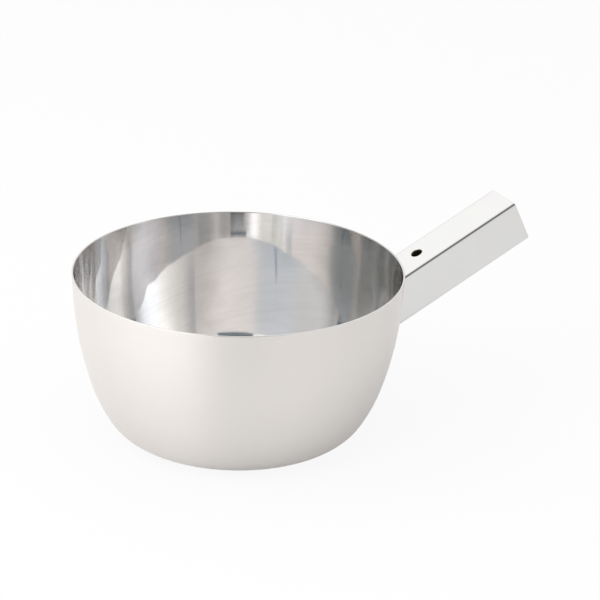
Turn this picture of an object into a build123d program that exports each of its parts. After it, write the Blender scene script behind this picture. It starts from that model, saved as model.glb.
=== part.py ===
"""Stainless steel hishaku water dipper: a spun bowl with a square tube socket welded to its side.

A wooden pole slides into the open end of the socket and is held by a nail through the hole in
its top. The origin is the centre of the bowl's flat base, +Z is up the bowl's axis and the socket
leaves the bowl towards +X. Lengths are in millimetres and angles in degrees.
"""

from build123d import *
from math import asin, cos, degrees, pi, radians, sin, tan
import os

# Bowl
RIM_DIAMETER = 180.0  # outside, at the buffed edge
BOWL_HEIGHT = 92.0
SHEET_THICKNESS = 1.0
STRAIGHT_BAND = 14.0  # height of the straight wall under the rim
WALL_LEAN = 3.3  # how far that wall leans in from upright, going down
BELLY_RADIUS = 192.0  # outside radius of the slow curve under the straight band
LOWER_BELLY_TOP = 29.5  # height at which the belly starts to turn in faster
LOWER_BELLY_RADIUS = 85.0  # outside radius of that faster turn
CORNER_RADIUS = 22.5  # outside radius between the lower belly and the flat base

# Socket for the pole
SOCKET_SIZE = 25.0  # outside, across the flats of the square tube
SOCKET_WALL = 1.2
SOCKET_CORNER_RADIUS = 1.5  # outside
SOCKET_LENGTH = 93.5  # along the centre line, from the bowl to the open end
SOCKET_TILT = 26.0  # upwards from level
SOCKET_BELOW_RIM = 33.5  # from the rim down to where the centre line meets the bowl
NAIL_HOLE_DIAMETER = 6.5
NAIL_HOLE_FROM_BOWL = 33.0  # along the centre line, from the bowl
NAIL_HOLE_ASIDE = 1.5  # from the centre line towards +Y, where the hole was drilled

# Welds
WELD_LEG = 2.5  # along the bowl and along the tube, all round the socket's root
SEAM_WIDTH = 2.0  # lengthwise weld in the tube's lower wall
SEAM_BEAD_HEIGHT = 0.4  # how far that weld stands into the tube

# Bowl profile, as radius and height. Each arc runs smoothly on from the one above it.
HALF_SHEET = SHEET_THICKNESS / 2
lean = radians(WALL_LEAN)


def outwards(point, distance, angle):
    """A point moved away from the bowl's axis, this far along a line that falls at this angle."""
    return (point[0] + distance * cos(angle), point[1] - distance * sin(angle))


rim_centre = (RIM_DIAMETER / 2 - HALF_SHEET, BOWL_HEIGHT - HALF_SHEET)
rim_outside = outwards(rim_centre, HALF_SHEET, lean)
band_foot = (rim_outside[0] - STRAIGHT_BAND * tan(lean), rim_outside[1] - STRAIGHT_BAND)
belly_centre = outwards(band_foot, -BELLY_RADIUS, lean)
belly_end = asin((belly_centre[1] - LOWER_BELLY_TOP) / BELLY_RADIUS)
lower_centre = outwards(belly_centre, BELLY_RADIUS - LOWER_BELLY_RADIUS, belly_end)
lower_end = asin((lower_centre[1] - CORNER_RADIUS) / (LOWER_BELLY_RADIUS - CORNER_RADIUS))
corner_centre = outwards(lower_centre, LOWER_BELLY_RADIUS - CORNER_RADIUS, lower_end)
WALL_ARCS = (
    (belly_centre, BELLY_RADIUS, lean, belly_end),
    (lower_centre, LOWER_BELLY_RADIUS, belly_end, lower_end),
    (corner_centre, CORNER_RADIUS, lower_end, pi / 2),
)


def wall_at(height):
    """The bowl's outside radius at a height, and how far its wall leans in there, in radians."""
    if height >= band_foot[1]:
        return band_foot[0] + (height - band_foot[1]) * tan(lean), lean
    for centre, radius, start, end in WALL_ARCS:
        if height >= centre[1] - radius * sin(end):
            lean_here = asin((centre[1] - height) / radius)
            return centre[0] + radius * cos(lean_here), lean_here
    raise ValueError(f"the bowl's wall has no height {height}")


def wall_line(inset):
    """The bowl's wall, from the edge of the flat base up to the rim, this far inside its outside."""
    arcs = [
        CenterArc(centre, radius - inset, -degrees(end), degrees(end - start))
        for centre, radius, start, end in reversed(WALL_ARCS)
    ]
    return [*arcs, Line(arcs[-1] @ 1, outwards(rim_outside, -inset, lean))]


def spin(*lines):
    """The solid that a closed outline of radius and height sweeps round the bowl's axis."""
    return Rot(Z=180) * revolve(Plane.XZ * make_face(Curve() + list(lines)), Axis.Z)


def make_bowl():
    """One sheet of even thickness, with a flat base and a half-round buffed rim."""
    outside = wall_line(0)
    inside = wall_line(SHEET_THICKNESS)
    rim = CenterArc(rim_centre, HALF_SHEET, -WALL_LEAN, 180)
    under = Line((0, 0), outside[0] @ 0)
    floor = Line((0, SHEET_THICKNESS), inside[0] @ 0)
    return spin(under, *outside, rim, *inside, floor, Line(under @ 0, floor @ 0))


def make_bowl_block():
    """Everything inside the bowl's outside surface, up to the foot of its half-round rim."""
    outside = wall_line(0)
    under = Line((0, 0), outside[0] @ 0)
    top = Line((0, rim_outside[1]), rim_outside)
    return spin(under, *outside, top, Line(under @ 0, top @ 0))


# Socket frame: its origin is on the bowl where the centre line meets it, its x runs across the
# socket towards +Y, its y is square to the lower and upper walls, and its z runs outwards.
HALF_SOCKET = SOCKET_SIZE / 2
COPE_STOCK = SOCKET_SIZE  # reaches into the bowl, until the tube's end is shaped to the wall
tilt = radians(SOCKET_TILT)
joint_height = BOWL_HEIGHT - SOCKET_BELOW_RIM
joint_radius, joint_lean = wall_at(joint_height)
joint = (joint_radius, 0, joint_height)
socket_plane = Plane(origin=joint, x_dir=(0, 1, 0), z_dir=(cos(tilt), 0, sin(tilt)))


def along_socket(outline):
    """Extrudes an outline of the socket's section, from inside the bowl to the socket's open end."""
    start = socket_plane.offset(-COPE_STOCK)
    return extrude(start * outline, COPE_STOCK + SOCKET_LENGTH)


def socket_bar(inset=0.0):
    """A bar with the rounded square section of the tube, this far inside its outside."""
    side = SOCKET_SIZE - 2 * inset
    return along_socket(RectangleRounded(side, side, SOCKET_CORNER_RADIUS - inset))


def make_socket(bowl_block):
    """Square tube with its end shaped to the bowl, a nail hole on top and an open seam below."""
    seam = along_socket(Pos(0, -HALF_SOCKET) * Rectangle(SEAM_WIDTH, 2 * SOCKET_WALL))
    hole_start = socket_plane * Pos(NAIL_HOLE_ASIDE, 0, NAIL_HOLE_FROM_BOWL) * Rot(X=-90)
    nail_hole = extrude(hole_start * Circle(NAIL_HOLE_DIAMETER / 2), SOCKET_SIZE)
    return socket_bar() - socket_bar(SOCKET_WALL) - seam - nail_hole - bowl_block


def make_seam_weld(bowl_block):
    """Weld that closes the tube's seam: ground flush outside, a low bead inside."""
    outside = -HALF_SOCKET
    inside = outside + SOCKET_WALL
    half = SEAM_WIDTH / 2
    sides = Polyline((half, inside), (half, outside), (-half, outside), (-half, inside))
    bead = ThreePointArc((-half, inside), (0, inside + SEAM_BEAD_HEIGHT), (half, inside))
    return along_socket(make_face(sides + bead)) - bowl_block


def make_root_weld(bowl_block):
    """Fillet weld all round the socket where it meets the bowl.

    Sections parallel to the bowl's wall at the joint are rectangles round the slanting socket. They
    narrow at 45 degrees from a foot under the wall up to the socket's sides, one leg out. The bowl's
    wall falls away beside the joint, so the rectangles are narrower by that fall on both sides.
    """
    slant = tilt + joint_lean
    wall_plane = Plane(origin=joint, x_dir=(0, 1, 0), z_dir=(cos(joint_lean), 0, -sin(joint_lean)))
    fall = HALF_SOCKET**2 / (2 * joint_radius)
    foot_depth = WELD_LEG + 2 * fall

    def section(height):
        growth = WELD_LEG - height
        across = SOCKET_SIZE + 2 * (growth - fall)
        along = SOCKET_SIZE / cos(slant) + 2 * growth
        outline = RectangleRounded(across, along, SOCKET_CORNER_RADIUS + growth)
        return wall_plane * Pos(0, height * tan(slant), height) * outline

    return loft([section(-foot_depth), section(WELD_LEG)], ruled=True) - bowl_block - socket_bar()


def main():
    bowl_block = make_bowl_block()
    pieces = {
        "bowl": make_bowl(),
        "handle_socket": make_socket(bowl_block),
        "socket_seam_weld": make_seam_weld(bowl_block),
        "socket_root_weld": make_root_weld(bowl_block),
    }
    os.makedirs("parts", exist_ok=True)
    for name, piece in pieces.items():
        export_step(piece, f"parts/{name}.step")


main()
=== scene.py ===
"""Dresses a stainless steel hishaku water dipper: a spun bowl, its square tube socket and their welds.

The bowl is satin outside and polished inside. Lengths are in metres and angles in radians, in the
frame of the solid model: origin at the centre of the flat base, +Z up, socket towards +X.
"""

from math import asin, cos, pi, radians, sin, tan

import bpy
import numpy as np
from bpy.props import FloatProperty, FloatVectorProperty, PointerProperty
from mathutils import Matrix, Vector


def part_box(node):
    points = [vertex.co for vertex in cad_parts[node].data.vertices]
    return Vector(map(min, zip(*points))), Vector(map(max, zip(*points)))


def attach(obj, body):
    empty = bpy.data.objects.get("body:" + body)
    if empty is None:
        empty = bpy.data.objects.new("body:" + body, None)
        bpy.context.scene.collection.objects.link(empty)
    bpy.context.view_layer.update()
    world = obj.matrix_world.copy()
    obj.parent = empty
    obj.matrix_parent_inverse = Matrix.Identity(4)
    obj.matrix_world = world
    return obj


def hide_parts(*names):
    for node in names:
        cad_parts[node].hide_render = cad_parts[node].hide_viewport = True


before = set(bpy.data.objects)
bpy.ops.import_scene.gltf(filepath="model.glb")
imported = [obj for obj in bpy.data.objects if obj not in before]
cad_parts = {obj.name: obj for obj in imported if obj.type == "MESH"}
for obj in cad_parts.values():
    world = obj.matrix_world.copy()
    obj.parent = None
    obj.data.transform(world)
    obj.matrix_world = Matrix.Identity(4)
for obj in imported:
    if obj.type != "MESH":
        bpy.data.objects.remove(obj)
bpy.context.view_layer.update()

bl_info = {
    "name": "Steel Water Dipper",
    "version": (1, 0, 0),
    "blender": (4, 5, 0),
    "location": "View3D > Sidebar > Dipper",
    "description": "Builds a spun steel bowl with a welded tube socket, and a white stage for it",
    "category": "Add Mesh",
}

MM = 0.001
TURN = 2 * pi
BODY = "root"
BOWL_LOW, BOWL_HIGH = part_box("bowl")


# Sizes and colours

def length(name, description, default):
    """A property for a length in metres."""
    return FloatProperty(
        name=name, description=description, default=default, unit="LENGTH", subtype="DISTANCE", precision=5
    )


def angle(name, description, degrees):
    """A property for an angle, given in degrees and kept in radians."""
    return FloatProperty(
        name=name, description=description, default=radians(degrees), unit="ROTATION", subtype="ANGLE"
    )


def factor(name, description, default):
    """A property for a plain number from 0 to 1."""
    return FloatProperty(
        name=name, description=description, default=default, min=0.0, max=1.0, subtype="FACTOR"
    )


def colour(name, description, default):
    """A property for a linear colour."""
    return FloatVectorProperty(
        name=name, description=description, default=default, min=0.0, max=1.0, size=3, subtype="COLOR"
    )


class BowlSizes(bpy.types.PropertyGroup):
    """The bowl's sheet and the shape of its wall"""

    rim_radius: length("Rim radius", "Outside, at the buffed edge", -BOWL_LOW.x)
    height: length("Height", "From the flat base to the rim", BOWL_HIGH.z)
    sheet: length("Sheet", "Thickness of the steel", 1.0 * MM)
    band: length("Straight band", "Height of the straight wall under the rim", 14.0 * MM)
    lean: angle("Wall lean", "How far the straight wall leans in, going down", 3.3)
    belly: length("Belly radius", "Slow curve under the straight band", 192.0 * MM)
    lower_top: length("Lower belly top", "Height at which the belly turns in faster", 29.5 * MM)
    lower: length("Lower belly radius", "The faster turn", 85.0 * MM)
    corner: length("Corner radius", "Between the lower belly and the flat base", 22.5 * MM)
    waves: length("Waves", "How far the spun wall strays from a true circle", 0.05 * MM)
    pull: length("Weld pull", "How far the socket's weld draws the wall out", 0.12 * MM)


class SocketSizes(bpy.types.PropertyGroup):
    """The square tube that takes the pole, and its nail hole"""

    size: length("Size", "Outside, across the flats", 25.0 * MM)
    wall: length("Wall", "Thickness of the tube's wall", 1.2 * MM)
    corner: length("Corner radius", "Outside, along the tube's four edges", 1.5 * MM)
    reach: length("Length", "Along the centre line, from the bowl to the open end", 93.5 * MM)
    tilt: angle("Tilt", "Upwards from level", 26.0)
    below_rim: length("Below the rim", "From the rim to where the centre line meets the bowl", 33.5 * MM)
    hole_radius: length("Nail hole radius", "Hole in the upper wall", 3.25 * MM)
    hole_along: length("Nail hole place", "Along the centre line, from the bowl", 33.0 * MM)
    hole_aside: length("Nail hole aside", "From the centre line, towards +Y", 1.5 * MM)
    edge: length("Broken edge", "Rounding of the cut end and of the hole", 0.25 * MM)


class WeldSizes(bpy.types.PropertyGroup):
    """The bead round the socket's root and the seam in its lower wall"""

    leg: length("Leg", "Along the bowl and along the tube", 2.5 * MM)
    pitch: length("Ripple pitch", "From one ripple of the bead to the next", 1.5 * MM)
    ripple: length("Ripple height", "How far the ripples stand out", 0.14 * MM)
    seam: length("Seam width", "Weld in the tube's lower wall", 2.0 * MM)
    bead: length("Seam bead", "How far the seam stands into the tube", 0.4 * MM)


class Finishes(bpy.types.PropertyGroup):
    """Colours and smoothness of the steel"""

    satin: colour("Satin steel", "Outside of the bowl", (0.92, 0.88, 0.845))
    polished: colour("Polished steel", "Inside of the bowl", (0.88, 0.873, 0.868))
    tube: colour("Tube steel", "Socket", (0.805, 0.80, 0.79))
    tube_inside: colour("Tube inside", "Dull scale inside the socket", (0.42, 0.36, 0.27))
    weld: colour("Weld steel", "Beads and seam", (0.66, 0.63, 0.58))
    straw: colour("Straw tint", "Share of the satin's colour left beside the weld", (0.95, 0.87, 0.72))
    satin_roughness: factor("Satin roughness", "Outside of the bowl", 0.38)
    polished_roughness: factor("Polished roughness", "Inside of the bowl", 0.03)
    scratch_roughness: factor("Scratch roughness", "Fine scratches inside the bowl", 0.22)
    tube_roughness: factor("Tube roughness", "Socket", 0.10)
    weld_roughness: factor("Weld roughness", "Beads and seam", 0.38)


class StageSizes(bpy.types.PropertyGroup):
    """The camera, the floor and the lamp"""

    azimuth: angle("Camera azimuth", "From the direction that looks along +Y", -27.142)
    elevation: angle("Camera elevation", "Above the horizon", 22.716)
    roll: angle("Camera roll", "Tilt of the frame", 1.553)
    distance: length("Camera distance", "From the point it looks at", 1287.9 * MM)
    aim: FloatVectorProperty(
        name="Camera aim",
        description="The point in the middle of the frame",
        default=(29.93 * MM, -15.34 * MM, 75.38 * MM),
        subtype="TRANSLATION",
        unit="LENGTH",
    )
    lens: FloatProperty(name="Focal length", description="In millimetres", default=142.23, unit="CAMERA")
    floor: length("Floor", "Side of the square floor", 30.0)
    white: colour("Floor white", "Floor and backdrop", (1.0, 1.0, 1.0))


# Mesh helpers

def quads(index):
    """Four-cornered faces between the neighbours of a grid of vertex numbers, as rows of four."""
    return np.stack((index[:-1, :-1], index[:-1, 1:], index[1:, 1:], index[1:, :-1]), -1).reshape(-1, 4)


def closed(grid):
    """A grid whose last column joins on to its first."""
    return np.concatenate((grid, grid[:, :1]), axis=1)


def joined(*lines):
    """One line of points from several, each of which starts where the one before it ends."""
    return np.concatenate([lines[0], *(line[1:] for line in lines[1:])])


def run_along(points):
    """The distance along a line of points, from its start to each of them."""
    return np.concatenate(([0.0], np.cumsum(np.linalg.norm(np.diff(points, axis=0), axis=1))))


def grid_uv(first, second):
    """Texture coordinates at the corners of a grid's faces, from the two coordinates of its points."""
    uv = np.stack(np.broadcast_arrays(first, second), -1)
    index = np.arange(uv[..., 0].size).reshape(uv.shape[:2])
    return uv.reshape(-1, 2)[quads(index)].reshape(-1, 2)


def add_object(name, data):
    """An object at the origin, in the scene."""
    added = bpy.data.objects.new(name, data)
    bpy.context.scene.collection.objects.link(added)
    return added


def add_piece(name, stands_for, points, faces, corner_uv, materials, face_material=None):
    """A smooth mesh that stands for a node of the solid model, which it hides.

    Corner_uv holds a pair for each corner of each face, and face_material the number of each face's
    material.
    """
    mesh = bpy.data.meshes.new(name)
    mesh.from_pydata(points.reshape(-1, 3).tolist(), [], faces)
    layer = mesh.uv_layers.new(name="surface")
    layer.data.foreach_set("uv", np.asarray(corner_uv, np.float32).ravel())
    mesh.polygons.foreach_set("use_smooth", np.ones(len(faces), bool))
    for material in materials:
        mesh.materials.append(material)
    if face_material is not None:
        mesh.polygons.foreach_set("material_index", np.asarray(face_material, np.int32))
    mesh.update()
    mesh.validate()
    piece = add_object(name, mesh)
    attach(piece, BODY)
    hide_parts(stands_for)


# Bowl

ARC_STEPS = (40, 14, 26)  # belly, lower belly and corner
BAND_STEPS = 10
RIM_STEPS = 20
FLAT_STEPS = 8
AROUND = 400
CENTRE_RING = 4.0 * MM  # radius of the smallest ring, round the middle of the base
RIM_FULLNESS = 3.0  # 2 is a half circle, and more is squarer
# Each slow wave of the wall: its count round the bowl, share, phase and twist for each metre of height
WAVES = (
    (3, 1.0, 0.4, 0.0),
    (7, 0.5, 1.9, 20.0),
    (12, 0.26, 4.1, -35.0),
    (19, 0.14, 2.7, 50.0),
    (31, 0.09, 1.1, -40.0),
    (43, 0.06, 5.2, 60.0),
)
PULL_WIDTH = 17.0 * MM
PULL_RINGS = 24.0 * MM  # from one ring of the drawn wall to the next


def outwards(point, distance, fall):
    """A point of radius and height moved away from the axis along a line that falls at this angle."""
    return point[0] + distance * cos(fall), point[1] - distance * sin(fall)


def bowl_wall(bowl):
    """The top of the outside wall, the foot of its straight band, and the arcs below that.

    Each arc is a centre, a radius and the angles below level where it starts and ends. An arc's centre
    lies on the last radius of the arc above, so the wall runs on smoothly down to the flat base.
    """
    half = bowl.sheet / 2
    top = outwards((bowl.rim_radius - half, bowl.height - half), half, bowl.lean)
    foot = (top[0] - bowl.band * tan(bowl.lean), top[1] - bowl.band)
    belly = outwards(foot, -bowl.belly, bowl.lean)
    belly_end = asin((belly[1] - bowl.lower_top) / bowl.belly)
    lower = outwards(belly, bowl.belly - bowl.lower, belly_end)
    lower_end = asin((lower[1] - bowl.corner) / (bowl.lower - bowl.corner))
    corner = outwards(lower, bowl.lower - bowl.corner, lower_end)
    arcs = (
        (belly, bowl.belly, bowl.lean, belly_end),
        (lower, bowl.lower, belly_end, lower_end),
        (corner, bowl.corner, lower_end, pi / 2),
    )
    return top, foot, arcs


def wall_radius(bowl, height):
    """The bowl's outside radius at any height: a slanting line, then each arc by Pythagoras."""
    _, foot, arcs = bowl_wall(bowl)
    radius = foot[0] + (height - foot[1]) * tan(bowl.lean)
    for centre, arc_radius, start, _ in arcs:
        across = np.sqrt(np.maximum(arc_radius**2 - (centre[1] - height) ** 2, 0.0))
        radius = np.where(height < centre[1] - arc_radius * sin(start), centre[0] + across, radius)
    return radius


def arc_line(centre, radius, start, end, steps):
    """Points of radius and height on an arc, from one angle below level to another."""
    angles = np.linspace(start, end, steps + 1)
    return np.column_stack((centre[0] + radius * np.cos(angles), centre[1] - radius * np.sin(angles)))


def straight_line(start, end, steps):
    """Points on a straight line, with this many even steps."""
    return np.linspace(start, end, steps + 1)


def wall_line(bowl, inset):
    """The bowl's wall, from the edge of the flat base up to the rim, this far inside its outside."""
    top, foot, arcs = bowl_wall(bowl)
    lines = [
        arc_line(centre, radius - inset, end, start, steps)
        for (centre, radius, start, end), steps in zip(reversed(arcs), reversed(ARC_STEPS))
    ]
    band = straight_line(outwards(foot, -inset, bowl.lean), outwards(top, -inset, bowl.lean), BAND_STEPS)
    return joined(*lines, band)


def rim_line(bowl):
    """The buffed rim, from outside to inside: a superellipse whose width is the sheet's thickness.

    Out = half cos(t)^(2 / k) and up = half sin(t)^(2 / k), where k sets how full the rim is, turned to
    stand on the leaning wall.
    """
    half = bowl.sheet / 2
    t = np.linspace(0.0, pi, RIM_STEPS + 1)
    out = half * np.sign(np.cos(t)) * np.abs(np.cos(t)) ** (2 / RIM_FULLNESS)
    up = half * np.abs(np.sin(t)) ** (2 / RIM_FULLNESS)
    centre = (bowl.rim_radius - half, bowl.height - half)
    radius = centre[0] + out * cos(bowl.lean) + up * sin(bowl.lean)
    height = centre[1] - out * sin(bowl.lean) + up * cos(bowl.lean)
    return np.column_stack((np.minimum(radius, bowl.rim_radius), np.minimum(height, bowl.height)))


def bowl_line(bowl):
    """The bowl's section from the middle of its base, up outside, over the rim and down to its floor.

    Also gives the number of points before the rim.
    """
    outside = wall_line(bowl, 0.0)
    inside = wall_line(bowl, bowl.sheet)
    under = straight_line((CENTRE_RING, 0.0), outside[0], FLAT_STEPS)
    floor = straight_line(inside[0], (CENTRE_RING, bowl.sheet), FLAT_STEPS)
    line = joined(under, outside, rim_line(bowl), inside[::-1], floor)
    return line, len(under) + len(outside) - 1


def wall_waves(bowl, angles, height):
    """How far the wall strays from a true circle: a few slow waves round the bowl that turn as they rise.

    Each wave is share cos(count angle + phase + twist height). A smooth step from the flat base to the
    top of the lower belly brings them in.
    """
    rise = np.clip(height / bowl.lower_top, 0.0, 1.0)
    step = rise * rise * (3 - 2 * rise)
    waves = sum(
        share * np.cos(count * angles + phase + twist * height) for count, share, phase, twist in WAVES
    )
    return bowl.waves * step * waves


def weld_pull(bowl, joint, angles, height):
    """How far the weld draws the wall out: a bell round the joint, with rings.

    For the distance d from the joint along the wall it is exp(-(d / width)^2 / 2) cos(turn d / rings).
    """
    side = ((angles + pi) % TURN - pi) * joint[0]
    distance = np.hypot(side, height - joint[2])
    bell = np.exp(-((distance / PULL_WIDTH) ** 2) / 2) * np.cos(TURN * distance / PULL_RINGS)
    return bowl.pull * bell


def make_bowl(bowl, joint, materials):
    """The section of the bowl carried round its axis, with a fan of triangles at each pole.

    A point of the grid is (r cos a, r sin a, z), where r and z come from the section and a from the turn,
    and the wall's waves and the weld's pull are added to r. The first texture coordinate is a share of
    the turn and the second the distance along the section.
    """
    line, before_rim = bowl_line(bowl)
    rows = len(line)
    angles = np.linspace(0.0, TURN, AROUND, endpoint=False)
    height = np.broadcast_to(line[:, 1:], (rows, AROUND))
    strays = wall_waves(bowl, angles[None, :], height) + weld_pull(bowl, joint, angles[None, :], height)
    radius = line[:, :1] + strays
    grid = np.stack((radius * np.cos(angles), radius * np.sin(angles), height), -1).reshape(-1, 3)
    poles = np.array(((0.0, 0.0, 0.0), (0.0, 0.0, bowl.sheet)))
    under_pole, floor_pole = rows * AROUND, rows * AROUND + 1

    index = closed(np.arange(rows * AROUND).reshape(rows, AROUND))
    first, last = index[0], index[-1]
    under_fan = np.stack((np.full(AROUND, under_pole), first[1:], first[:-1]), -1)
    floor_fan = np.stack((np.full(AROUND, floor_pole), last[:-1], last[1:]), -1)
    faces = quads(index).tolist() + under_fan.tolist() + floor_fan.tolist()

    run = run_along(line) + CENTRE_RING
    share = np.linspace(0.0, 1.0, AROUND + 1)

    def fan_uv(pole, ring, *ends):
        """A fan's texture coordinates: the runs at its pole and ring, and the turns of each arc's ends."""
        turns = np.stack(((share[1:] + share[:-1]) / 2, *ends), 1)
        return np.stack((turns, np.broadcast_to((pole, ring, ring), turns.shape)), -1).reshape(-1, 2)

    wall_uv = grid_uv(share[None, :], run[:, None])
    under_uv = fan_uv(0.0, run[0], share[1:], share[:-1])
    floor_uv = fan_uv(run[-1] + CENTRE_RING, run[-1], share[:-1], share[1:])
    uv = np.concatenate((wall_uv, under_uv, floor_uv))
    wall_inside = np.repeat(np.arange(rows - 1) >= before_rim, AROUND)
    is_inside = np.concatenate((wall_inside, np.zeros(AROUND, bool), np.ones(AROUND, bool)))
    points = np.concatenate((grid, poles))
    add_piece("spun_bowl", "bowl", points, faces, uv, materials, is_inside)


# Socket

ROOT_SEARCH = 40.0 * MM  # the bowl's wall is nearer than this, either way along the socket
HALVINGS = 40
CORNER_STEPS = 10
SUPPORT = 0.25 * MM  # a line this close to each rounded edge keeps the flats flat
HOLE_STEPS = 8  # faces along each side of the square round the nail hole
HOLE_SQUARE = 6.0 * MM  # half the side of that square
HOLE_RINGS = (0.4, 0.72, 0.92, 1.0)  # from that square in to the hole
ROOT_ZONE = 16.0 * MM  # the shaped root end is evened out by here
ROOT_STEPS = 6
BEFORE_HOLE_STEPS = 3
AFTER_HOLE_STEPS = 9
EDGE_STEPS = 5
EDGE_RISES = np.linspace(0.0, pi / 2, EDGE_STEPS + 1)[1:]  # angles round a broken edge


class SocketFrame:
    """Turns places across, up and along the socket into points of the object."""

    def __init__(self, bowl, socket):
        self.bowl = bowl
        joint_height = bowl.height - socket.below_rim
        joint_radius = float(wall_radius(bowl, np.array(joint_height)))
        self.origin = np.array((joint_radius, 0.0, joint_height))
        self.across = np.array((0.0, 1.0, 0.0))
        self.up = np.array((-sin(socket.tilt), 0.0, cos(socket.tilt)))
        self.along = np.array((cos(socket.tilt), 0.0, sin(socket.tilt)))

    def points(self, across, up, along):
        """Points at these places, with the three numbers of each point last."""
        parts = np.broadcast_arrays(across, up, along)
        axes = (self.across, self.up, self.along)
        return self.origin + sum(part[..., None] * axis for part, axis in zip(parts, axes))

    def root(self, across, up):
        """How far along the socket a line at this place meets the bowl's outside, found by halving."""
        low = np.full(np.shape(across), -ROOT_SEARCH)
        high = np.full(np.shape(across), ROOT_SEARCH)
        for _ in range(HALVINGS):
            middle = (low + high) / 2
            point = self.points(across, up, middle)
            inside = np.hypot(point[..., 0], point[..., 1]) < wall_radius(self.bowl, point[..., 2])
            low = np.where(inside, middle, low)
            high = np.where(inside, high, middle)
        return (low + high) / 2


def flat_side(start, end, stops=()):
    """Places along a flat side, with a line close to each end and at each stop between them."""
    way = np.sign(end - start)
    return np.array([start, start + way * SUPPORT, *stops, end - way * SUPPORT, end])


def tube_contour(socket, slot, top_stops=()):
    """The tube's outside, once round from one side of the slot in its lower wall to the other.

    Gives the places across and up, and the direction square to the surface there. Straight sides are
    joined by quarter circles.
    """
    half = socket.size / 2
    flat = half - socket.corner
    rises = np.linspace(0.0, pi / 2, CORNER_STEPS + 1)
    sides = (
        flat_side(slot / 2, flat),
        flat_side(-flat, flat),
        flat_side(flat, -flat, top_stops),
        flat_side(flat, -flat),
        flat_side(-flat, -slot / 2),
    )
    place, facing = [], []
    for number, side in enumerate(sides):
        turn = number * pi / 2 - pi / 2
        out = np.array((cos(turn), sin(turn)))
        level = np.full(len(side), half * out.sum())
        is_level = number % 2 == 0
        place.append(np.column_stack((side, level) if is_level else (level, side)))
        facing.append(np.broadcast_to(out, (len(side), 2)))
        if number < len(sides) - 1:
            arc = np.column_stack((np.cos(turn + rises), np.sin(turn + rises)))
            centre = flat * (out + np.array((-out[1], out[0])))
            place.append((centre + socket.corner * arc)[1:-1])
            facing.append(arc[1:-1])
    return np.concatenate(place), np.concatenate(facing)


def socket_stations(socket):
    """Places along the tube: the end of the shaped root, the square round the hole, and the open end.

    Also gives the numbers of the two stations on the square's sides.
    """
    square_start = socket.hole_along - HOLE_SQUARE
    square_end = socket.hole_along + HOLE_SQUARE
    before = np.linspace(ROOT_ZONE, square_start, BEFORE_HOLE_STEPS + 1)
    beside = np.linspace(square_start, square_end, HOLE_STEPS + 1)
    last = socket.reach - socket.edge
    after = np.linspace(square_end, last - SUPPORT, AFTER_HOLE_STEPS + 1)
    stations = np.concatenate((before, beside[1:], after[1:], [last]))
    first = ROOT_STEPS + BEFORE_HOLE_STEPS
    return stations, first, first + HOLE_STEPS


def broken_edges(socket):
    """Depths under the tube's outside across both rounded edges of a cut, from outside to inside."""
    going_in = socket.edge * (1 - np.cos(EDGE_RISES))
    return np.concatenate((going_in, socket.wall - going_in[::-1]))


def hole_rings(socket, square):
    """Rings from the square round the nail hole in to the hole, through the wall and out again inside.

    Square holds the steps from the hole's centre to the points round the square. Gives the same steps
    for each ring, and each ring's depth under the tube's outside.
    """
    turn = square / np.linalg.norm(square, axis=1)[:, None]
    mouth = socket.hole_radius + socket.edge
    widths = [(1 - share) * square + share * mouth * turn for share in HOLE_RINGS]
    edge_in = [(mouth - socket.edge * sin(rise)) * turn for rise in EDGE_RISES]
    rings = np.array([*widths, *edge_in, *edge_in[::-1], *widths[::-1]])
    flat = np.zeros(len(HOLE_RINGS))
    return rings, np.concatenate((flat, broken_edges(socket), flat + socket.wall))


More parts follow.
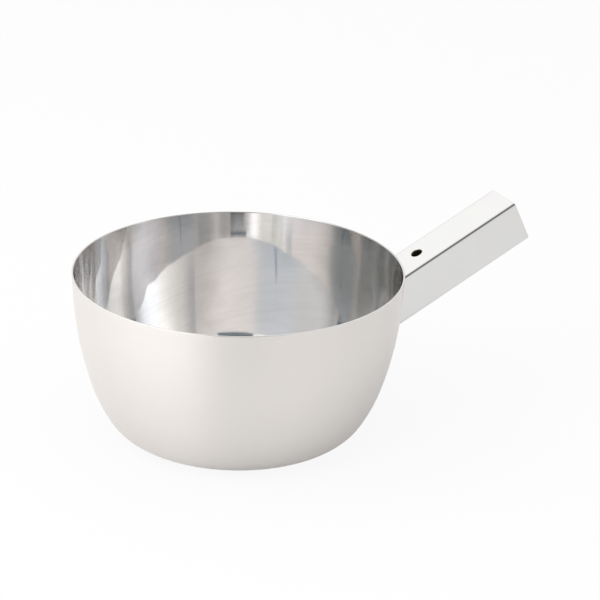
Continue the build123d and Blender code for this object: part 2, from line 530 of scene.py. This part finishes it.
def make_socket(bowl, socket, weld, materials):
    """A square tube with a slot for its seam: a line round its wall carried round its section.

    The line runs out along the outside, over the rounded cut end and back along the inside. Both sides
    of the slot are closed by strips. A square of faces in the upper wall gives way to rings that narrow to
    the nail hole, go down through the wall and widen to the square on the inside. The texture coordinates
    are the distance along the tube and round it.
    """
    place_in = SocketFrame(bowl, socket)
    stops = np.linspace(socket.hole_aside + HOLE_SQUARE, socket.hole_aside - HOLE_SQUARE, HOLE_STEPS + 1)
    place, facing = tube_contour(socket, weld.seam, stops)
    round_run = run_along(place)
    columns = len(place)
    stations, row_first, row_last = socket_stations(socket)
    shares = np.linspace(0.0, 1.0, ROOT_STEPS, endpoint=False)

    def wall_rows(depth):
        """Places along the tube for each station, at this depth under its outside."""
        section = place - depth * facing
        root = place_in.root(section[:, 0], section[:, 1])
        shaped = root + shares[:, None] * (ROOT_ZONE - root)
        return np.concatenate((shaped, np.broadcast_to(stations[:, None], (len(stations), columns))))

    outside, inside = wall_rows(0.0), wall_rows(socket.wall)
    edge_depth = broken_edges(socket)
    edge_out = socket.reach - socket.edge + socket.edge * np.sin(EDGE_RISES)
    edge_along = np.concatenate((edge_out, edge_out[::-1]))
    count, edge_count = len(outside), len(edge_depth)
    edge = np.broadcast_to(edge_along[:, None], (edge_count, columns))
    along = np.concatenate((outside, edge, inside[::-1]))
    depth = np.concatenate((np.zeros(count), edge_depth, np.full(count, socket.wall)))[:, None, None]
    section = place - depth * facing
    grid = place_in.points(section[..., 0], section[..., 1], along).reshape(-1, 3)
    tube_uv = np.stack((along, np.broadcast_to(round_run, along.shape)), -1).reshape(-1, 2)
    index = np.arange(len(grid)).reshape(-1, columns)
    back = index[::-1]

    column_first = int(np.argmin(np.hypot(*(place - (stops[0], socket.size / 2)).T)))
    column_last = column_first + HOLE_STEPS
    keep = np.ones((len(index), columns - 1), bool)
    for row in (row_first, len(index) - 1 - row_last):
        keep[row:row + HOLE_STEPS, column_first:column_last] = False
    wall = quads(np.concatenate((index, index[:1])))[keep.ravel()]
    face_rows = np.repeat(np.arange(len(index)), columns - 1)[keep.ravel()]

    def strip(column):
        """The faces across the wall's thickness at one side of the slot."""
        return quads(np.stack((index[:count, column], back[:count, column])))

    def end_face(column):
        """The rounded end of that strip."""
        return index[count - 1:count + edge_count + 1, column]

    sides = np.concatenate((strip(0), strip(-1)[:, ::-1]))
    ends = [end_face(0).tolist(), end_face(-1)[::-1].tolist()]

    def square_round_hole(rows):
        """The vertices round the hole's square, in the order of the turn from along to across."""
        return np.concatenate(
            (
                rows[row_last, column_last:column_first:-1],
                rows[row_last:row_first:-1, column_first],
                rows[row_first, column_first:column_last],
                rows[row_first:row_last, column_last],
            )
        )

    outer_square, inner_square = square_round_hole(index), square_round_hole(back)
    centre = np.array((socket.hole_along, socket.hole_aside))
    across = np.broadcast_to(section[0, :, 0], along.shape)
    flat = np.column_stack((along.ravel()[outer_square], across.ravel()[outer_square]))
    rings, hole_depth = hole_rings(socket, flat - centre)
    hole_along, hole_across = np.moveaxis(centre + rings, -1, 0)
    hole_up = socket.size / 2 - hole_depth[:, None]
    hole_grid = place_in.points(hole_across, hole_up, hole_along).reshape(-1, 3)
    hole_run = round_run[column_first] + stops[0] - hole_across
    hole_uv = np.stack((hole_along, hole_run), -1).reshape(-1, 2)
    hole_index = np.arange(len(hole_grid)).reshape(len(hole_depth), -1) + len(grid)
    hole = quads(closed(np.concatenate((outer_square[None], hole_index, inner_square[None]))))
    ring_rows = np.repeat(np.arange(len(hole_depth) + 1), len(outer_square))

    faces = wall.tolist() + hole.tolist() + sides.tolist() + ends
    is_inside = np.concatenate(
        (
            face_rows >= count + edge_count - 1,
            ring_rows >= len(HOLE_RINGS) + EDGE_STEPS - 1,
            np.zeros(len(sides) + len(ends), bool),
        )
    )
    points = np.concatenate((grid, hole_grid))
    uv = np.concatenate((tube_uv, hole_uv))[np.concatenate(faces)]
    add_piece("socket_tube", "handle_socket", points, faces, uv, materials, is_inside)


# Welds

BEAD_SAMPLES = 10  # for each ripple
BEAD_FACE_STEPS = 14
BEAD_CROWN = 1.5  # 1 is a quarter of an ellipse and 2 a flat slope
CRESCENT = 0.9  # how far each ripple lags at its two toes, as a share of the pitch
UNEVEN = 0.25  # how far the ripples' height strays, as a share of it
UNEVEN_WAVES = ((5, 0.0), (3, 1.0))  # the two waves that make it stray: count round the socket and phase
SEAM_FACE_STEPS = 6
SEAM_SIDE_STEPS = 2
SEAM_DOME_STEPS = 8
SEAM_SAMPLES = 8  # for each ripple
SEAM_RIPPLE = 0.3  # share of the seam bead's height that ripples


def ripples(run, pitch, lag):
    """Rounded scales from 0 to 1 that repeat along a bead, each swept back by its lag."""
    return np.abs(np.sin(pi * (run / pitch - lag)))


def make_root_weld(bowl, socket, weld, material):
    """A fillet bead round the socket where it meets the bowl, as a section carried round the tube.

    The section's face goes from a toe on the bowl to a toe on the tube: out = leg cos(t)^k and
    rise = leg sin(t)^k, where k sets how full the bead is, with ripples that stand out from it. The
    section closes down the tube and along the bowl. Out is measured from the tube's side and rise along
    the tube from the bowl's surface.
    """
    place_in = SocketFrame(bowl, socket)
    place, facing = tube_contour(socket, 0.0)
    run = run_along(place)
    girth = run[-1]
    count = round(girth / weld.pitch)
    steps = count * BEAD_SAMPLES
    at = np.linspace(0.0, girth, steps, endpoint=False)
    place = np.column_stack([np.interp(at, run, place[:, axis]) for axis in (0, 1)])
    facing = np.column_stack([np.interp(at, run, facing[:, axis]) for axis in (0, 1)])
    facing /= np.linalg.norm(facing, axis=1)[:, None]

    share = np.linspace(0.0, 1.0, BEAD_FACE_STEPS + 1)
    t = share[:, None] * pi / 2
    lag = CRESCENT * (2 * share[:, None] - 1) ** 2
    first, second = (np.sin(waves * TURN * at / girth + phase) for waves, phase in UNEVEN_WAVES)
    uneven = 1 + UNEVEN * first * second
    lift = weld.ripple * ripples(at[None, :], girth / count, lag) * uneven * np.sin(2 * t)
    zero = np.zeros((1, steps))
    out = np.concatenate((weld.leg * np.cos(t) ** BEAD_CROWN + lift * np.cos(t), zero))
    rise = np.concatenate((weld.leg * np.sin(t) ** BEAD_CROWN + lift * np.sin(t), zero))
    section = place + out[..., None] * facing
    along = place_in.root(section[..., 0], section[..., 1]) + rise
    grid = place_in.points(section[..., 0], section[..., 1], along)

    index = np.arange(out.size).reshape(out.shape)
    faces = quads(closed(np.concatenate((index, index[:1])))).tolist()
    # Once round the section: two legs over its face, one down the tube and one along the bowl
    section_run = weld.leg * np.concatenate((2 * share, [3, 4]))
    uv = grid_uv(np.linspace(0.0, girth, steps + 1)[None, :], section_run[:, None])
    add_piece("root_weld_bead", "socket_root_weld", grid, faces, uv, [material])


def make_seam_weld(bowl, socket, weld, material):
    """The weld in the tube's slot: flush outside, with a low rippled dome inside the tube.

    Its section, a rectangle with a parabola on top, is carried along the tube from the bowl to the open
    end. The parabola's height follows the ripples.
    """
    place_in = SocketFrame(bowl, socket)
    half = weld.seam / 2
    outside = -socket.size / 2
    inside = outside + socket.wall
    face = straight_line((-half, outside), (half, outside), SEAM_FACE_STEPS)
    side = straight_line((half, outside), (half, inside), SEAM_SIDE_STEPS)
    dome = straight_line((half, inside), (-half, inside), SEAM_DOME_STEPS)
    section = joined(face, side, dome, side[::-1] * (-1, 1))[:-1]
    crown = np.where(section[:, 1] >= inside, 1 - (section[:, 0] / half) ** 2, 0.0)

    steps = round(socket.reach / weld.pitch) * SEAM_SAMPLES
    share = np.linspace(0.0, 1.0, steps + 1)[:, None]
    root = place_in.root(section[:, 0], section[:, 1])
    along = root + share * (socket.reach - root)
    lag = CRESCENT * (section[:, 0] / half) ** 2
    height = weld.bead * (1 - SEAM_RIPPLE + SEAM_RIPPLE * ripples(along, weld.pitch, lag))
    grid = place_in.points(section[:, 0], section[:, 1] + crown * height, along)

    index = np.arange(along.size).reshape(along.shape)
    faces = [*quads(closed(index)).tolist(), index[0, ::-1].tolist(), index[-1].tolist()]
    run = run_along(np.concatenate((section, section[:1])))
    first_uv, last_uv = (np.column_stack((row, run[:-1])) for row in (along[0], along[-1]))
    uv = np.concatenate((grid_uv(closed(along), run[None, :]), first_uv[::-1], last_uv))
    add_piece("seam_weld_strip", "socket_seam_weld", grid, faces, uv, [material])


# Materials

QUARTER_TURN = 0.25  # turns a shader's stretch square to the first texture coordinate
RAGGED = 6.0 * MM  # how far the edges of a patch stray
HEAT_REACH = 30.0 * MM  # from the joint to the end of the weld's straw tint
HEAT_FULL = 17.0 * MM  # from the joint to where that tint is full
POLISH_SLANT = 0.25  # how far the polish's streaks climb for each unit of x
# Painted patches of reflected light and shade on the polished wall: a place on the wall as an angle from
# the socket, in degrees, and a height, how far the patch reaches and how far it is full, all in
# millimetres, how much of its height counts, and the share of the polish's colour there. A share above 1 is
# a painted highlight, and below 1 painted shade.
PAINTED_REFLECTION_PATCHES = (
    (13, 75, 38, 16, 0.8, (0.63, 0.63, 0.61)),
    (-9, 36, 34, 14, 0.8, (0.97, 1.01, 1.075)),
    (123, 36, 40, 12, 1, (0.68, 0.69, 0.69)),
    (124, 86, 30, 10, 0.7, (0.78, 0.79, 0.80)),
    (54, 44, 30, 8, 1, (0.92, 0.92, 0.91)),
    (43, 90, 26, 8, 1.5, (1.05, 1.06, 1.10)),
    (-6, 84, 20, 8, 0.8, (0.78, 0.79, 0.76)),
    (86, 58, 29, 9, 0.3, (0.68, 0.675, 0.665)),
)


def node(tree, kind, settings, inputs):
    """A shader node with its settings, and its inputs as plain values or as other nodes' outputs."""
    made = tree.nodes.new(kind)
    for name, value in settings.items():
        setattr(made, name, value)
    for name, value in inputs.items():
        if isinstance(value, bpy.types.NodeSocket):
            tree.links.new(value, made.inputs[name])
        else:
            made.inputs[name].default_value = value
    return made


def math(tree, operation, *values):
    """The result of a Math node on one to three values."""
    return node(tree, "ShaderNodeMath", {"operation": operation}, dict(enumerate(values))).outputs[0]


def vector_math(tree, operation, *vectors):
    """A Vector Math node on one or two vectors."""
    return node(tree, "ShaderNodeVectorMath", {"operation": operation}, dict(enumerate(vectors)))


def mix(tree, share, first, second, **settings):
    """A colour that a share from 0 to 1 carries from a first colour to a second."""
    made = node(tree, "ShaderNodeMix", {"data_type": "RGBA", **settings}, {0: share, 6: first, 7: second})
    return made.outputs[2]


def parts_of(tree, vector):
    """The X, Y and Z outputs of a vector."""
    return node(tree, "ShaderNodeSeparateXYZ", {}, {0: vector}).outputs


def object_place(tree):
    """The place of each point of the piece in the object's frame."""
    return node(tree, "ShaderNodeTexCoord", {}, {}).outputs["Object"]


def surface_uv(tree):
    """The piece's own texture coordinates."""
    return node(tree, "ShaderNodeUVMap", {"uv_map": "surface"}, {}).outputs["UV"]


def noise(tree, vector, scale, detail, roughness=0.5):
    """The outputs of a noise texture."""
    inputs = {"Vector": vector, "Scale": scale, "Detail": detail, "Roughness": roughness}
    return node(tree, "ShaderNodeTexNoise", {}, inputs).outputs


def spread(tree, value, low, high):
    """A value from 0 to 1 carried over to a range of its own."""
    return math(tree, "MULTIPLY_ADD", value, high - low, low)


def around(tree, value, middle, reach):
    """A value from 0 to 1 carried over to a range that reaches this far either side of its middle."""
    return spread(tree, value, middle - reach, middle + reach)


def fade(tree, value, start, end):
    """A smooth step from 0 where a value is at its start to 1 at its end."""
    return node(
        tree,
        "ShaderNodeMapRange",
        {"interpolation_type": "SMOOTHSTEP"},
        {"Value": value, "From Min": start, "From Max": end, "To Min": 0.0, "To Max": 1.0},
    ).outputs[0]


def shade(tree, value, base, low, high):
    """A colour that a value from 0 to 1 carries between a darker and a lighter share of its base."""
    darker, lighter = ((*(share * part for part in base), 1.0) for share in (low, high))
    return mix(tree, value, darker, lighter)


def tinted(tree, value, tint, mask):
    """A colour that a mask from 0 to 1 carries to a share of itself."""
    return mix(tree, mask, value, (*tint, 1.0), blend_type="MULTIPLY")


def steel(name, base, anisotropy=0.0):
    """A bare steel material, its node tree and its shader.

    Anisotropy is for fine lines along the first texture coordinate, which smear a reflection across them.
    """
    material = bpy.data.materials.new(name)
    material.use_nodes = True
    tree = material.node_tree
    shader = tree.nodes["Principled BSDF"]
    shader.inputs["Base Color"].default_value = (*base, 1.0)
    shader.inputs["Metallic"].default_value = 1.0
    shader.inputs["Anisotropic"].default_value = anisotropy
    shader.inputs["Anisotropic Rotation"].default_value = QUARTER_TURN if anisotropy else 0.0
    tangent = node(tree, "ShaderNodeTangent", {"direction_type": "UV_MAP", "uv_map": "surface"}, {})
    tree.links.new(tangent.outputs["Tangent"], shader.inputs["Tangent"])
    return material, tree, shader


def finish_steel(tree, shader, colours, rough, relief=None, height=0.0):
    """Puts a colour, a roughness and relief of this height, in metres, on a shader."""
    tree.links.new(colours, shader.inputs["Base Color"])
    tree.links.new(rough, shader.inputs["Roughness"])
    if relief is not None:
        bump = node(tree, "ShaderNodeBump", {}, {"Strength": 1.0, "Distance": height, "Height": relief})
        tree.links.new(bump.outputs["Normal"], shader.inputs["Normal"])


def lines_round_bowl(tree, length_scale, line_scale, detail, slant=0.0):
    """Noise drawn out round the bowl's axis: slow in x and y, fine along the bowl's section.

    The lines climb by the slant for each unit of x.
    """
    place = parts_of(tree, object_place(tree))
    run = math(tree, "MULTIPLY_ADD", place["X"], slant, parts_of(tree, surface_uv(tree))["Y"])
    scaled = {
        0: math(tree, "MULTIPLY", place["X"], length_scale),
        1: math(tree, "MULTIPLY", place["Y"], length_scale),
        2: math(tree, "MULTIPLY", run, line_scale),
    }
    vector = node(tree, "ShaderNodeCombineXYZ", {}, scaled).outputs[0]
    return noise(tree, vector, scale=1.0, detail=detail, roughness=0.6)["Fac"]


def patch_mask(tree, centre, start, full, rise=1.0):
    """A patch on the wall, from one distance from its centre in to another, with ragged edges.

    Rise is the share of a height that counts as distance: 1 makes a round patch, and less a tall one.
    """
    place = object_place(tree)
    clouds = noise(tree, place, scale=60.0, detail=2.0)["Fac"]
    across = vector_math(tree, "SUBTRACT", place, tuple(centre)).outputs[0]
    squeezed = vector_math(tree, "MULTIPLY", across, (1.0, 1.0, rise)).outputs[0]
    distance = vector_math(tree, "LENGTH", squeezed).outputs["Value"]
    ragged = math(tree, "ADD", distance, around(tree, clouds, middle=0.0, reach=RAGGED))
    return fade(tree, ragged, start, full)


def satin_steel(finish, joint):
    """Outside of the bowl: a soft satin of fine lines round the bowl, tinted by heat round the weld."""
    base = finish.satin
    material, tree, shader = steel("satin_steel", base, anisotropy=0.9)
    lines = lines_round_bowl(tree, length_scale=24.0, line_scale=2600.0, detail=3.0)
    heat = patch_mask(tree, joint, HEAT_REACH, HEAT_FULL)
    colours = tinted(tree, shade(tree, lines, base, low=0.97, high=1.02), finish.straw, heat)
    rough = around(tree, lines, finish.satin_roughness, reach=0.05)
    finish_steel(tree, shader, colours, rough, relief=lines, height=0.004 * MM)
    return material


def polished_steel(finish, bowl):
    """Inside of the bowl and its rim: bright, with painted patches of reflected light and shade, and the
    fine scratches of the spinning.
    """
    base = finish.polished
    material, tree, shader = steel("polished_steel", base, anisotropy=0.85)
    streaks = lines_round_bowl(tree, length_scale=14.0, line_scale=450.0, detail=4.0, slant=POLISH_SLANT)
    colours = shade(tree, streaks, base, low=0.935, high=1.06)
    # Painted patches of reflected light and shade, laid over the polish's colour
    for degrees, height, reach, full, rise, share in PAINTED_REFLECTION_PATCHES:
        turn = radians(degrees)
        radius = float(wall_radius(bowl, np.array(height * MM)))
        centre = (radius * cos(turn), radius * sin(turn), height * MM)
        colours = tinted(tree, colours, share, patch_mask(tree, centre, reach * MM, full * MM, rise))
    fine_lines = lines_round_bowl(tree, length_scale=20.0, line_scale=7000.0, detail=2.0)
    scratches = fade(tree, fine_lines, start=0.58, end=0.74)
    rough = spread(tree, scratches, finish.polished_roughness, finish.scratch_roughness)
    finish_steel(tree, shader, colours, rough)
    return material


def tube_steel(finish):
    """Socket: bright drawn tube with hairlines along it and a faint cloudiness."""
    base = finish.tube
    material, tree, shader = steel("tube_steel", base, anisotropy=0.5)
    drawn_out = {"Vector": surface_uv(tree), "Scale": (60.0, 4000.0, 1.0)}
    vector = node(tree, "ShaderNodeMapping", {}, drawn_out).outputs[0]
    lines = noise(tree, vector, scale=1.0, detail=3.0, roughness=0.6)["Fac"]
    clouds = noise(tree, object_place(tree), scale=70.0, detail=3.0)["Color"]
    bright = shade(tree, lines, base, low=0.97, high=1.02)
    hazy = mix(tree, share=0.12, first=bright, second=clouds, blend_type="OVERLAY")
    rough = around(tree, lines, finish.tube_roughness, reach=0.03)
    finish_steel(tree, shader, hazy, rough, relief=lines, height=0.002 * MM)
    return material


def tube_scale(finish):
    """Inside of the socket: the dull brown scale that drawn tube keeps."""
    base = finish.tube_inside
    material, tree, shader = steel("tube_scale", base)
    mottle = noise(tree, object_place(tree), scale=400.0, detail=5.0, roughness=0.65)["Fac"]
    colours = shade(tree, mottle, base, low=0.6, high=1.4)
    rough = spread(tree, mottle, low=0.4, high=0.7)
    finish_steel(tree, shader, colours, rough, relief=mottle, height=0.03 * MM)
    return material


def weld_steel(finish):
    """Weld metal: duller and warmer, mottled by heat and brushing."""
    base = finish.weld
    material, tree, shader = steel("weld_steel", base)
    mottle = noise(tree, object_place(tree), scale=900.0, detail=4.0, roughness=0.6)["Fac"]
    colours = shade(tree, mottle, base, low=0.8, high=1.15)
    rough = around(tree, mottle, finish.weld_roughness, reach=0.12)
    finish_steel(tree, shader, colours, rough, relief=mottle, height=0.02 * MM)
    return material


# Stage

# What stands round the dipper: the middle of each panel as an azimuth from the camera's side towards the
# right, its half width and the softness of its sides, then its lowest and highest elevation and the
# softness there, all in degrees, and the light that it gives.
PANELS = {
    "ceiling": (0, 180, 1, 58, 90, 12, (0.70, 0.69, 0.68)),
    "rear wall top": (-160, 62, 26, 34, 46, 8, (1.15, 1.15, 1.15)),
    "left wall": (-111, 2.5, 15, 22, 28, 6, (0.71, 0.715, 0.725)),
    "rear wall": (-164.5, 47.5, 6, -20, 30, 4, (0.935, 0.885, 0.865)),
    "rear wall foot": (180, 40, 30, -20, 15, 9, (0.76, 0.73, 0.71)),
    "rear floor": (180, 80, 30, -20, 7, 5, (0.36, 0.37, 0.38)),
    "left floor": (-122, 26, 34, -20, 13, 4, (1.09, 1.09, 1.09)),
    "right wall": (80, 45, 38, -20, 56, 8, (0.715, 0.71, 0.705)),
    "right screen": (124, 14, 30, 16, 56, 4, (0.72, 0.745, 0.785)),
    "right screen foot": (128, 14, 32, -20, 17, 5, (0.53, 0.56, 0.59)),
    "right floor": (100, 40, 34, -20, 9, 5, (0.62, 0.62, 0.62)),
    "post foot": (128, 1.6, 2.4, -20, 17.5, 2.5, (0.42, 0.47, 0.53)),
    "post": (128, 0.5, 1.6, -20, 20.5, 2.5, (0.40, 0.46, 0.54)),
    "soft lamp": (-51, 6, 54, -20, 52, 8, (1.56, 1.535, 1.515)),
    "front wall top": (8, 28, 12, 31, 78, 4, (0.10, 0.11, 0.12)),
    "column side": (-2, 1, 29, -20, 23.5, 2.5, (0.56, 0.55, 0.54)),
    "column": (5.9, 10.6, 4, -20, 33, 4, (0.50, 0.51, 0.52)),
    "column foot": (5.9, 10.6, 4, -20, 14, 10, (0.18, 0.19, 0.20)),
    "column base": (5.9, 10.6, 4, -20, 6, 6, (0.64, 0.64, 0.64)),
    "column head": (3, 13.8, 2.2, 24.3, 40, 1.2, (0.15, 0.18, 0.20)),
}
BACKDROP = (0.93, 0.90, 0.88)
AMBIENT = (0.60, 0.60, 0.60)  # the world's light on the floor
LAMP_SIZE = (1.2, 1.0)
LAMP_POWER = 10.0
LAMP_AZIMUTH = radians(-62.0)  # from the camera's side
LAMP_ELEVATION = radians(45.0)
LAMP_DISTANCE = 1.2
FLOOR_SHOWN_WHITE = 0.92  # share of plain white that the camera sees in the floor
FLOOR_MIRRORED_WHITE = 0.25  # the same share, as polished steel sees it
FLOOR_ALBEDO = 0.95  # share of its light that the floor gives back
GLOSSY_BOUNCES = 24  # light runs round the polished wall many times before it leaves the bowl


def direction(azimuth, elevation):
    """The unit vector at an azimuth from -Y towards +X and an elevation above the horizon."""
    return Vector((sin(azimuth) * cos(elevation), -cos(azimuth) * cos(elevation), sin(elevation)))


def studio_light(tree, stage):
    """The colour of the surroundings in each direction: a backdrop with the panels laid over it in turn."""
    way = node(tree, "ShaderNodeTexCoord", {}, {}).outputs["Generated"]
    turn = {"Vector": way, "Angle": -stage.azimuth}
    turned = node(tree, "ShaderNodeVectorRotate", {"rotation_type": "Z_AXIS"}, turn).outputs[0]
    parts = parts_of(tree, turned)
    azimuth = math(tree, "ARCTAN2", parts["X"], math(tree, "MULTIPLY", parts["Y"], -1.0))
    elevation = math(tree, "ARCSINE", parts["Z"])
    light = (*BACKDROP, 1.0)
    for name, (middle, half_width, soft, low, high, soft_end, level) in PANELS.items():
        off = math(tree, "WRAP", math(tree, "SUBTRACT", azimuth, radians(middle)), pi, -pi)
        sides = fade(tree, math(tree, "ABSOLUTE", off), radians(half_width + soft), radians(half_width))
        foot = fade(tree, elevation, radians(low - soft_end), radians(low))
        top = fade(tree, elevation, radians(high + soft_end), radians(high))
        mask = math(tree, "MULTIPLY", sides, math(tree, "MULTIPLY", foot, top))
        light = mix(tree, mask, light, (*level, 1.0), label=name)
    return light


def make_world(stage):
    """A white world, in which shiny surfaces see the panels round the dipper and dull ones an even grey."""
    world = bpy.data.worlds.new("studio")
    world.use_nodes = True
    tree = world.node_tree
    path = node(tree, "ShaderNodeLightPath", {}, {}).outputs
    seen = mix(tree, path["Is Glossy Ray"], (*stage.white, 1.0), studio_light(tree, stage))
    light = mix(tree, path["Is Diffuse Ray"], seen, (*AMBIENT, 1.0))
    tree.links.new(light, tree.nodes["Background"].inputs["Color"])
    bpy.context.scene.world = world


def make_lamp(stage):
    """A large soft lamp at the front left, which lights the floor and draws the soft shadow."""
    data = bpy.data.lights.new("softbox", "AREA")
    data.shape = "RECTANGLE"
    data.size, data.size_y = LAMP_SIZE
    data.energy = LAMP_POWER
    back = direction(stage.azimuth + LAMP_AZIMUTH, LAMP_ELEVATION)
    lamp = add_object("softbox", data)
    lamp.location = LAMP_DISTANCE * back
    lamp.rotation_euler = (-back).to_track_quat("-Z", "Y").to_euler()
    lamp.visible_glossy = False
    lamp.visible_camera = False


def make_floor(stage):
    """A white floor that keeps the dipper's soft shadow."""
    half = stage.floor / 2
    corners = [(-half, -half, 0), (half, -half, 0), (half, half, 0), (-half, half, 0)]
    mesh = bpy.data.meshes.new("floor")
    mesh.from_pydata(corners, [], [(0, 1, 2, 3)])
    material = bpy.data.materials.new("floor_white")
    material.use_nodes = True
    tree = material.node_tree
    tree.nodes.remove(tree.nodes["Principled BSDF"])
    path = node(tree, "ShaderNodeLightPath", {}, {}).outputs
    shown = math(tree, "MULTIPLY", path["Is Camera Ray"], FLOOR_SHOWN_WHITE)
    share = math(tree, "MULTIPLY_ADD", path["Is Glossy Ray"], FLOOR_MIRRORED_WHITE, shown)
    paint = (*(FLOOR_ALBEDO * part for part in stage.white), 1.0)
    lit = node(tree, "ShaderNodeBsdfDiffuse", {}, {"Color": paint})
    plain = node(tree, "ShaderNodeEmission", {}, {"Color": (*stage.white, 1.0), "Strength": 1.0})
    mixed = node(tree, "ShaderNodeMixShader", {}, {0: share, 1: lit.outputs[0], 2: plain.outputs[0]})
    tree.links.new(mixed.outputs[0], tree.nodes["Material Output"].inputs["Surface"])
    mesh.materials.append(material)
    floor = add_object("floor", mesh)


def make_camera(stage):
    """A camera that looks at its aim from an azimuth and elevation, with its frame rolled a little."""
    back = direction(stage.azimuth, stage.elevation)
    level = Vector((cos(stage.azimuth), sin(stage.azimuth), 0.0))
    rise = back.cross(level)
    right = cos(stage.roll) * level + sin(stage.roll) * rise
    up = cos(stage.roll) * rise - sin(stage.roll) * level
    data = bpy.data.cameras.new("camera")
    data.lens = stage.lens
    camera = add_object("camera", data)
    turn = Matrix((right, up, back)).transposed().to_4x4()
    camera.matrix_world = Matrix.Translation(Vector(stage.aim) + stage.distance * back) @ turn
    bpy.context.scene.camera = camera


# Add-on

class DIPPER_OT_bowl(bpy.types.Operator):
    """Spin the bowl"""

    bl_idname = "dipper.bowl"
    bl_label = "Bowl"

    def execute(self, context):
        bowl, finish = context.scene.dipper_bowl, context.scene.dipper_finish
        joint = SocketFrame(bowl, context.scene.dipper_socket).origin
        make_bowl(bowl, joint, [satin_steel(finish, joint), polished_steel(finish, bowl)])
        return {"FINISHED"}


class DIPPER_OT_socket(bpy.types.Operator):
    """Make the square tube socket with its nail hole"""

    bl_idname = "dipper.socket"
    bl_label = "Socket"

    def execute(self, context):
        scene = context.scene
        materials = [tube_steel(scene.dipper_finish), tube_scale(scene.dipper_finish)]
        make_socket(scene.dipper_bowl, scene.dipper_socket, scene.dipper_weld, materials)
        return {"FINISHED"}


class DIPPER_OT_welds(bpy.types.Operator):
    """Lay the bead round the socket's root and the seam in its lower wall"""

    bl_idname = "dipper.welds"
    bl_label = "Welds"

    def execute(self, context):
        scene = context.scene
        material = weld_steel(scene.dipper_finish)
        for make in (make_root_weld, make_seam_weld):
            make(scene.dipper_bowl, scene.dipper_socket, scene.dipper_weld, material)
        return {"FINISHED"}


class DIPPER_OT_stage(bpy.types.Operator):
    """Set up the white floor, the light and the camera"""

    bl_idname = "dipper.stage"
    bl_label = "Stage"

    def execute(self, context):
        scene = context.scene
        for make in (make_world, make_lamp, make_floor, make_camera):
            make(scene.dipper_stage)
        scene.cycles.max_bounces = GLOSSY_BOUNCES
        scene.cycles.glossy_bounces = GLOSSY_BOUNCES
        scene.cycles.caustics_reflective = False
        scene.view_settings.view_transform = "Standard"
        return {"FINISHED"}


OPERATORS = (DIPPER_OT_bowl, DIPPER_OT_socket, DIPPER_OT_welds, DIPPER_OT_stage)
SETTINGS = {
    "dipper_bowl": BowlSizes,
    "dipper_socket": SocketSizes,
    "dipper_weld": WeldSizes,
    "dipper_finish": Finishes,
    "dipper_stage": StageSizes,
}


class DIPPER_PT_sidebar(bpy.types.Panel):
    """Lists the dipper's operators and settings"""

    bl_label = "Water dipper"
    bl_idname = "DIPPER_PT_sidebar"
    bl_space_type = "VIEW_3D"
    bl_region_type = "UI"
    bl_category = "Dipper"

    def draw(self, context):
        for operator in OPERATORS:
            self.layout.operator(operator.bl_idname)
        for name, group in SETTINGS.items():
            box = self.layout.box()
            for key in group.__annotations__:
                box.prop(getattr(context.scene, name), key)


CLASSES = (*SETTINGS.values(), *OPERATORS, DIPPER_PT_sidebar)


def register():
    for added in CLASSES:
        bpy.utils.register_class(added)
    for name, group in SETTINGS.items():
        setattr(bpy.types.Scene, name, PointerProperty(type=group))


def unregister():
    for name in SETTINGS:
        delattr(bpy.types.Scene, name)
    for added in reversed(CLASSES):
        bpy.utils.unregister_class(added)


def main():
    register()
    bpy.ops.dipper.bowl()
    bpy.ops.dipper.socket()
    bpy.ops.dipper.welds()
    bpy.ops.dipper.stage()


if __name__ == "__main__":
    main()
